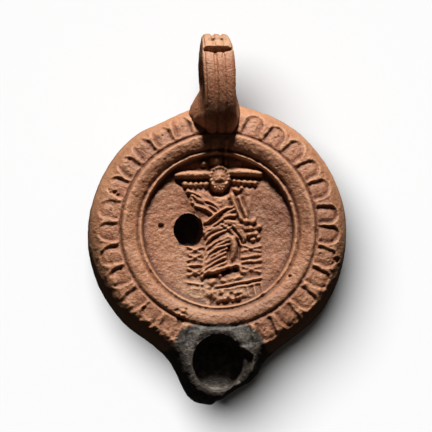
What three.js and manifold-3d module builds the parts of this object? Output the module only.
// A Roman oil lamp of fired clay: a round body pressed in two moulds, a sunk picture disc inside a
// sloping rim, a shoulder band of stamped tongues, a short round nozzle and a pierced lug handle.
//
// The lamp is one fired piece, hollow inside, so it is one mesh. Millimetres, +Z up. The origin is
// the centre of the flat base, the nozzle points along -Y and the handle along +Y.

import * as THREE from 'three';
import { mergeVertices } from 'three/addons/utils/BufferGeometryUtils.js';
import Module from 'manifold-3d';

const wasm = await Module();
wasm.setup();

// Body, as radius and height
const BODY_RADIUS = 40;
const SEAM_HEIGHT = 16;
const BASE_RADIUS = 20.4;
const BASE_GROOVE_RADIUS = 17.2;
const BAND_OUTER = new THREE.Vector2(35.8, 25.7);
const BAND_INNER = new THREE.Vector2(30.6, 26.3);
const RIM_EDGE = new THREE.Vector2(29.5, 27);
const RIM_CREST = new THREE.Vector2(28.2, 27.2);
const RIM_FOOT = new THREE.Vector2(24.4, 26.2);
const FLOOR_RADIUS = 22.9;
const FLOOR_EDGE_HEIGHT = 22.3;
const FLOOR_CENTRE_HEIGHT = 20.9;
const BODY_SEGMENTS = 54;
const SEGMENT_CROWDING = 0.3;

// Where the outline strays from a true round: direction in degrees from the nozzle, spread, amount
const STRAYS = [
  { angle: -154, spread: 15, amount: -1.4 },
  { angle: -114, spread: 20, amount: -0.6 },
  { angle: 145, spread: 28, amount: 0.25 },
  { angle: -33, spread: 10, amount: -0.7 },
  { angle: 33, spread: 10, amount: -0.4 },
];

// Hollow
const CHAMBER_RADIUS = 36.5;
const CHAMBER_FLOOR = 3.6;
const CHAMBER_CEILING = 17.9;
const CHAMBER_SEGMENTS = 40;
const CHANNEL_REACH = 11.9;
const CHANNEL_NARROWING = 0.76;

// Nozzle, as its reach beyond the body and the half angle that it covers
const NOZZLE_REACH = 12.7;
const NOZZLE_HALF_ANGLE = THREE.MathUtils.degToRad(14.7);
const NOZZLE_SQUARENESS = 4.9;
const NOZZLE_LIFT = 0.6;
const WICK_HOLE = { y: -40.7, radiusX: 6.9, radiusY: 7.6, bottom: 17.2 };
const BREAK = { x: 6.9, y: -46.9, angle: THREE.MathUtils.degToRad(-56), lean: 0.1 };
const FLAKE = { x: 10.3, y: -37.4, z: 25.2, angle: THREE.MathUtils.degToRad(-26.6), slope: 0.3 };

// Handle, a lug that stands behind the rim, set a little askew
const HANDLE_ROOT = { x: 0.3, y: 31 };
const HANDLE_SKEW = 0.052;
const HANDLE_TOP = 39.3;
const HANDLE_HALF_WIDTH = 4.95;
const HANDLE_BACK_TAPER = 0.6;
const HANDLE_FILLET_LEFT = 4.2;
const HANDLE_FILLET_RIGHT = 1.7;
const HANDLE_GROOVE_DEPTH = 0.55;
const FINGER_HOLE = { y: 46.6, z: 25.6, radiusY: 5, radiusZ: 5.3 };
const NOTCH = { y: 54.3, z: 36.6, halfLength: 1.1, halfWidth: 4.3, depth: 3, lean: 0.12 };
const CHIP = { x: 0.4, y: 57.9, z: 33.6, radiusX: 2.8, radiusY: 1.5, radiusZ: 1.6 };

// Stamped tongues on the shoulder band
const TONGUES_PER_SIDE = 13;
const TONGUE_FIRST = THREE.MathUtils.degToRad(19.2);
const TONGUE_PITCH = THREE.MathUtils.degToRad(12.27);
const TONGUE_LENGTH = 6.1;
const TONGUE_DEPTH = 0.75;

// Holes in the disc
const FILLING_HOLE = { x: -9, y: 0.3, radius: 4.85, sides: 12 };
const AIR_PIT = { x: -17.4, y: 1.2, radius: 1.05, depth: 1.1 };

const CLAY = new THREE.MeshStandardMaterial({ color: 0xc98a63, roughness: 0.85, metalness: 0 });

// ---------------------------------------------------------------- solids and booleans

function solid(geometry) {
  geometry.deleteAttribute('normal');
  geometry.deleteAttribute('uv');
  const merged = mergeVertices(geometry, 1e-4);
  const corners = merged.index.array;
  const triangles = [];
  for (let i = 0; i < corners.length; i += 3) {
    const [a, b, c] = corners.slice(i, i + 3);
    if (a !== b && b !== c && c !== a) triangles.push(a, b, c);
  }
  return new wasm.Manifold(new wasm.Mesh({
    numProp: 3,
    vertProperties: new Float32Array(merged.attributes.position.array),
    triVerts: new Uint32Array(triangles),
  }));
}

function geometryOf(manifold) {
  const mesh = manifold.getMesh();
  const geometry = new THREE.BufferGeometry();
  geometry.setAttribute('position', new THREE.BufferAttribute(mesh.vertProperties, 3));
  geometry.setIndex(new THREE.BufferAttribute(mesh.triVerts, 1));
  geometry.computeVertexNormals();
  return geometry;
}

function movePoints(geometry, rule) {
  const position = geometry.attributes.position;
  const point = new THREE.Vector3();
  for (let i = 0; i < position.count; i += 1) {
    point.fromBufferAttribute(position, i);
    rule(point);
    position.setXYZ(i, point.x, point.y, point.z);
  }
  return geometry;
}

// 1 up to the first value, 0 from the second, and a smooth fall between them
function fade(full, none, value) {
  return 1 - THREE.MathUtils.smoothstep(value, full, none);
}

// ---------------------------------------------------------------- body

function floorHeight(x, y) {
  const share = Math.min(1, Math.hypot(x, y) / FLOOR_RADIUS);
  return FLOOR_CENTRE_HEIGHT + (FLOOR_EDGE_HEIGHT - FLOOR_CENTRE_HEIGHT) * share * share;
}

function outerProfile() {
  const path = new THREE.Path();
  path.moveTo(0, 0);
  path.lineTo(BASE_GROOVE_RADIUS - 0.7, 0);
  path.lineTo(BASE_GROOVE_RADIUS, 0.5);
  path.lineTo(BASE_GROOVE_RADIUS + 0.7, 0);
  path.lineTo(BASE_RADIUS - 0.6, 0);
  path.lineTo(BASE_RADIUS, 0.9);
  path.bezierCurveTo(30, 4, BODY_RADIUS - 0.4, 9, BODY_RADIUS, SEAM_HEIGHT);
  path.bezierCurveTo(BODY_RADIUS, 21.8, 38.9, 25, BAND_OUTER.x, BAND_OUTER.y);
  path.lineTo(BAND_INNER.x, BAND_INNER.y);
  path.lineTo(RIM_EDGE.x + 0.5, BAND_INNER.y - 0.1);
  path.lineTo(RIM_EDGE.x, RIM_EDGE.y);
  path.lineTo(RIM_CREST.x, RIM_CREST.y);
  path.lineTo(RIM_CREST.x - 1.7, RIM_CREST.y - 0.25);
  path.lineTo(RIM_FOOT.x, RIM_FOOT.y);
  path.lineTo(FLOOR_RADIUS, FLOOR_EDGE_HEIGHT);
  path.quadraticCurveTo(FLOOR_RADIUS / 2, FLOOR_CENTRE_HEIGHT, 0, FLOOR_CENTRE_HEIGHT);
  return path.getPoints(4);
}

function chamberProfile() {
  const path = new THREE.Path();
  path.moveTo(0, CHAMBER_FLOOR);
  path.lineTo(18, CHAMBER_FLOOR);
  path.bezierCurveTo(27, 6.5, CHAMBER_RADIUS - 0.2, 10.5, CHAMBER_RADIUS, SEAM_HEIGHT);
  path.bezierCurveTo(CHAMBER_RADIUS, 20, 34, 22.9, 29, 23.2);
  path.lineTo(26.4, 22.8);
  path.lineTo(23, CHAMBER_CEILING + 1.6);
  path.lineTo(0, CHAMBER_CEILING);
  return path.getPoints(4);
}

// How far the outline lies outside a true round in this direction
function strayAt(angle) {
  return STRAYS.reduce((sum, stray) => {
    const off = (THREE.MathUtils.radToDeg(angle) - stray.angle) / stray.spread;
    return sum + stray.amount * Math.exp(-off * off);
  }, 0);
}

// Pulls one side of a turned shape out into the nozzle. Angle 0 is the nozzle's own direction.
function pullNozzle(geometry, radius, halfAngle, reach) {
  return movePoints(geometry, (point) => {
    const distance = Math.hypot(point.x, point.y);
    const angle = Math.atan2(point.x, -point.y);
    const swell = 1 / (1 + Math.abs(angle / halfAngle) ** NOZZLE_SQUARENESS);
    const below = THREE.MathUtils.clamp((distance - 0.6 * radius) / (0.4 * radius), 0, 1);
    const above = Math.sqrt(THREE.MathUtils.clamp((distance - 0.775 * radius) / (0.225 * radius), 0, 1));
    const share = swell * (point.z < SEAM_HEIGHT ? below : above);
    const pulled = distance + reach * share + strayAt(angle) * below;
    point.x = pulled * Math.sin(angle);
    point.y = -pulled * Math.cos(angle);
    point.z += NOZZLE_LIFT * share;
  });
}

function turned(profile, segments) {
  const geometry = new THREE.LatheGeometry(profile, segments);
  geometry.rotateX(Math.PI / 2);
  return movePoints(geometry, (point) => {
    const distance = Math.hypot(point.x, point.y);
    const angle = Math.atan2(point.x, -point.y);
    const crowded = angle - SEGMENT_CROWDING * Math.sin(angle);
    point.x = distance * Math.sin(crowded);
    point.y = -distance * Math.cos(crowded);
  });
}

function bodyOutside() {
  const geometry = turned(outerProfile(), BODY_SEGMENTS);
  return solid(pullNozzle(geometry, BODY_RADIUS, NOZZLE_HALF_ANGLE, NOZZLE_REACH));
}

function chamber() {
  const geometry = turned(chamberProfile(), CHAMBER_SEGMENTS);
  return solid(pullNozzle(geometry, CHAMBER_RADIUS, CHANNEL_NARROWING * NOZZLE_HALF_ANGLE, CHANNEL_REACH));
}

// ---------------------------------------------------------------- handle

// Side outline as (y, z): up the front face, over the top, down the back and in under the body
function handleOutline(inset) {
  const curve = new THREE.SplineCurve([
    new THREE.Vector2(28.6, 21),
    new THREE.Vector2(29.1, 26.6),
    new THREE.Vector2(31.4, 31.5),
    new THREE.Vector2(35, 35),
    new THREE.Vector2(39.6, 37.7),
    new THREE.Vector2(45.6, HANDLE_TOP),
    new THREE.Vector2(51, 38.6),
    new THREE.Vector2(56.2, 35.4),
    new THREE.Vector2(59.8, 29.8),
    new THREE.Vector2(60.4, 23.8),
    new THREE.Vector2(57.6, 17.8),
    new THREE.Vector2(51.8, 13.6),
    new THREE.Vector2(44.5, 11.6),
    new THREE.Vector2(37, 10.6),
  ]);
  const points = curve.getPoints(18);
  return points.map((point, i) => {
    const along = points[Math.min(i + 1, points.length - 1)].clone().sub(points[Math.max(i - 1, 0)]);
    const inward = new THREE.Vector2(along.y, -along.x).normalize();
    return point.clone().addScaledVector(inward, inset);
  });
}

// Where a place across the handle lies: each flank is upright, and a fillet runs out on to the shoulder
function handleAcross(across, y, z) {
  const middle = HANDLE_ROOT.x - HANDLE_SKEW * (y - HANDLE_ROOT.y);
  const spread = fade(36, 52, y) * (1 - fade(29, 35, y)) * fade(23, 36, z);
  const fillet = (across < 0 ? HANDLE_FILLET_LEFT : HANDLE_FILLET_RIGHT) * spread;
  const taper = HANDLE_BACK_TAPER * (1 - fade(50, 61, y));
  return middle + across * (HANDLE_HALF_WIDTH - taper + fillet);
}

// A slice of the handle between two places across its width, each a share of the half width
function handleSlice(inset, from, to) {
  const shape = new THREE.Shape(handleOutline(inset));
  const geometry = new THREE.ExtrudeGeometry(shape, { depth: to - from, bevelEnabled: false, steps: 1 });
  geometry.translate(0, 0, from);
  movePoints(geometry, (point) => {
    const [y, z, across] = point.toArray();
    point.set(handleAcross(across, y, z), y, z);
  });
  return solid(geometry);
}

function handle() {
  const ribs = [[-0.86, -0.3], [-0.12, 0.3], [0.48, 0.86]];
  const core = handleSlice(HANDLE_GROOVE_DEPTH, -1, 1);
  return ribs.reduce((lug, [from, to]) => lug.add(handleSlice(0, from, to)), core);
}

function fingerHole() {
  const geometry = new THREE.CylinderGeometry(1, 1, 40, 20);
  geometry.rotateZ(Math.PI / 2);
  geometry.scale(1, FINGER_HOLE.radiusY, FINGER_HOLE.radiusZ);
  geometry.translate(0, FINGER_HOLE.y, FINGER_HOLE.z);
  return solid(geometry);
}

function handleNotch() {
  const geometry = new THREE.BoxGeometry(2 * NOTCH.halfWidth, 2 * NOTCH.halfLength, 2 * NOTCH.depth);
  geometry.rotateX(NOTCH.lean);
  geometry.translate(handleAcross(0, NOTCH.y, NOTCH.z), NOTCH.y, NOTCH.z);
  return solid(geometry);
}

function handleChip() {
  const geometry = new THREE.SphereGeometry(1, 8, 5);
  geometry.scale(CHIP.radiusX, CHIP.radiusY, CHIP.radiusZ);
  geometry.translate(CHIP.x, CHIP.y, CHIP.z);
  return solid(geometry);
}

// ---------------------------------------------------------------- shoulder band

// One tongue as a U of even width, closed at its outer end, lying in its own plane
function tongueShape() {
  const shape = new THREE.Shape();
  const legs = TONGUE_LENGTH * 0.5;
  shape.moveTo(-2.5, 0);
  shape.lineTo(-3.25, legs);
  shape.bezierCurveTo(-3.25, TONGUE_LENGTH + 0.9, 3.25, TONGUE_LENGTH + 0.9, 3.25, legs);
  shape.lineTo(2.5, 0);
  shape.lineTo(1.5, 0);
  shape.lineTo(2.1, legs);
  shape.bezierCurveTo(2.1, TONGUE_LENGTH - 0.8, -2.1, TONGUE_LENGTH - 0.8, -2.1, legs);
  shape.lineTo(-1.5, 0);
  shape.closePath();
  return shape;
}

function tongueCut(angle) {
  const slope = BAND_OUTER.clone().sub(BAND_INNER);
  const geometry = new THREE.ExtrudeGeometry(tongueShape(), { depth: 3, bevelEnabled: false, curveSegments: 3 });
  geometry.translate(0, 0, -TONGUE_DEPTH);
  geometry.rotateX(Math.atan2(slope.y, slope.x));
  geometry.translate(0, BAND_INNER.x + 0.1, BAND_INNER.y);
  geometry.rotateZ(angle);
  return solid(geometry);
}

function tongueCuts() {
  const cuts = [];
  for (let k = 0; k < TONGUES_PER_SIDE; k += 1) {
    const angle = TONGUE_FIRST + k * TONGUE_PITCH;
    cuts.push(tongueCut(angle), tongueCut(-angle));
  }
  return cuts;
}

// ---------------------------------------------------------------- holes and breaks

function upright(x, y, radiusX, radiusY, bottom, sides) {
  const geometry = new THREE.CylinderGeometry(1, 1, 30, sides);
  geometry.rotateX(Math.PI / 2);
  geometry.scale(radiusX, radiusY, 1);
  geometry.translate(x, y, bottom + 15);
  return solid(geometry);
}

function brokenEdge() {
  const geometry = new THREE.BoxGeometry(20, 40, 40);
  geometry.translate(10, 0, 0);
  geometry.rotateY(-BREAK.lean);
  geometry.rotateZ(BREAK.angle);
  geometry.translate(BREAK.x, BREAK.y, SEAM_HEIGHT);
  return solid(geometry);
}

// A flake lost beside the wick hole: a flat cut that starts at a line and slopes down to the front
function lostFlake() {
  const [width, length, height] = [8, 10, 6];
  const geometry = new THREE.BoxGeometry(width, length, height);
  geometry.translate(0, -length / 2, height / 2);
  geometry.rotateX(FLAKE.slope);
  geometry.rotateZ(FLAKE.angle);
  geometry.translate(FLAKE.x, FLAKE.y, FLAKE.z);
  return solid(geometry);
}

// ---------------------------------------------------------------- relief on the disc

function lump(x, y, radiusX, radiusY, height, turn = 0, sides = 9) {
  const geometry = new THREE.SphereGeometry(1, sides, Math.round(0.6 * sides));
  geometry.rotateX(Math.PI / 2);
  geometry.scale(radiusX, radiusY, height);
  geometry.rotateZ(turn);
  geometry.translate(x, y, floorHeight(x, y));
  return solid(geometry);
}

// A straight raised strip that lies on the disc between two places
function strip(x0, y0, x1, y1, width, height, sides = 6) {
  const start = new THREE.Vector3(x0, y0, floorHeight(x0, y0));
  const end = new THREE.Vector3(x1, y1, floorHeight(x1, y1));
  const along = end.clone().sub(start);
  const geometry = new THREE.CylinderGeometry(1, 1, along.length(), sides, 1);
  geometry.scale(width / 2, 1, height);
  const side = new THREE.Vector3(0, 0, 1).cross(along).normalize().negate();
  const up = side.clone().cross(along.clone().normalize());
  const turn = new THREE.Matrix4().makeBasis(side, along.normalize(), up);
  geometry.applyMatrix4(turn);
  geometry.translate(...start.add(end).multiplyScalar(0.5).toArray());
  return solid(geometry);
}

// A fold of cloth, thick in the middle and fading to both ends
function fold(x0, y0, x1, y1, width, height) {
  const length = Math.hypot(x1 - x0, y1 - y0);
  const turn = Math.atan2(y1 - y0, x1 - x0);
  return lump((x0 + x1) / 2, (y0 + y1) / 2, length / 2, width / 2, height, turn, 8);
}

function throne() {
  const parts = [];
  for (const side of [-1, 1]) {
    const reach = side < 0 ? 13.2 : 13.3;
    parts.push(strip(side * 3, 17.6, side * reach, 17.6, 2, 1.3));
    for (let k = 0; k < 4; k += 1) parts.push(lump(side * (4.8 + 2.1 * k), 14.4, 1.05, 0.9, 0.8, 0, 6));
    parts.push(strip(side * 12, 16.8, side * 11.6, 9, 1.4, 0.7, 4));
  }
  for (let k = 0; k < 5; k += 1) parts.push(strip(7.6, -4.4 - 3 * k, 13, -3.9 - 3 * k, 1.3, 0.9, 4));
  for (let k = 0; k < 4; k += 1) parts.push(strip(-9.2, -6.6 - 3 * k, -5.4, -6.9 - 3 * k, 1.2, 0.8, 4));
  parts.push(lump(10.5, 0.4, 3.2, 3.8, 1.3));
  parts.push(strip(-4.8, -17.9, 9.2, -16, 1.9, 1.2));
  parts.push(strip(-4.4, -19.6, 9, -17.9, 1.6, 0.8));
  return parts;
}

function seatedFigure() {
  const parts = [
    lump(-0.2, 21.4, 2.3, 2.2, 1.9, 0, 8),
    lump(0.7, 17.9, 3.4, 2.2, 1.6, 0, 8),
    lump(0.8, 15.3, 2.9, 3.7, 2.2),
    lump(0.7, 7.2, 6.4, 6.6, 1.6),
    lump(-5.2, 10.6, 2.8, 3, 1.3, 0.5, 8),
    lump(5.6, 10.4, 2.5, 3, 1.4, -0.4, 8),
    lump(0.5, -1.2, 6.6, 4.4, 1.5),
    lump(-3.3, -3.6, 3, 3, 1.9),
    lump(4.4, -3.2, 2.6, 3, 2.1),
    lump(4.1, -8.2, 2.3, 5.4, 1.6),
    lump(-2.4, -8.6, 3.6, 5.6, 1.4),
    lump(-2.1, -15.6, 2.3, 2.3, 1.5, 0, 8),
    lump(5.3, -14.4, 2.2, 1.6, 1.4, 0, 8),
  ];
  parts.push(strip(5, 9.4, 8.9, 2.6, 1.8, 1.7));
  for (let k = 0; k < 4; k += 1) {
    parts.push(fold(-5.6 + 0.9 * k, 9.6 - 1.6 * k, 1.2 + 0.7 * k, 6.4 - 1.2 * k, 1.1, 2));
  }
  for (let k = 0; k < 6; k += 1) {
    parts.push(fold(2.4 - 0.1 * k, -2.2 - 1.2 * k, -5.6 + 0.9 * k, -5.8 - 1.35 * k, 1.1, 2));
  }
  return parts;
}

// ---------------------------------------------------------------- the lamp

function lamp() {
  const relief = [...throne(), ...seatedFigure()];
  const raised = wasm.Manifold.union([bodyOutside(), handle(), ...relief]);
  const removed = [
    chamber(),
    upright(FILLING_HOLE.x, FILLING_HOLE.y, FILLING_HOLE.radius, FILLING_HOLE.radius,
      CHAMBER_CEILING - 2, FILLING_HOLE.sides),
    upright(AIR_PIT.x, AIR_PIT.y, AIR_PIT.radius, AIR_PIT.radius,
      floorHeight(AIR_PIT.x, AIR_PIT.y) - AIR_PIT.depth, 8),
    upright(0, WICK_HOLE.y, WICK_HOLE.radiusX, WICK_HOLE.radiusY, WICK_HOLE.bottom, 20),
    fingerHole(),
    handleNotch(),
    handleChip(),
    brokenEdge(),
    lostFlake(),
    ...tongueCuts(),
  ];
  return raised.subtract(wasm.Manifold.union(removed));
}

const lampMesh = new THREE.Mesh(geometryOf(lamp()), CLAY);
lampMesh.name = 'lamp';

const group = new THREE.Group();
group.add(lampMesh);

export default group;
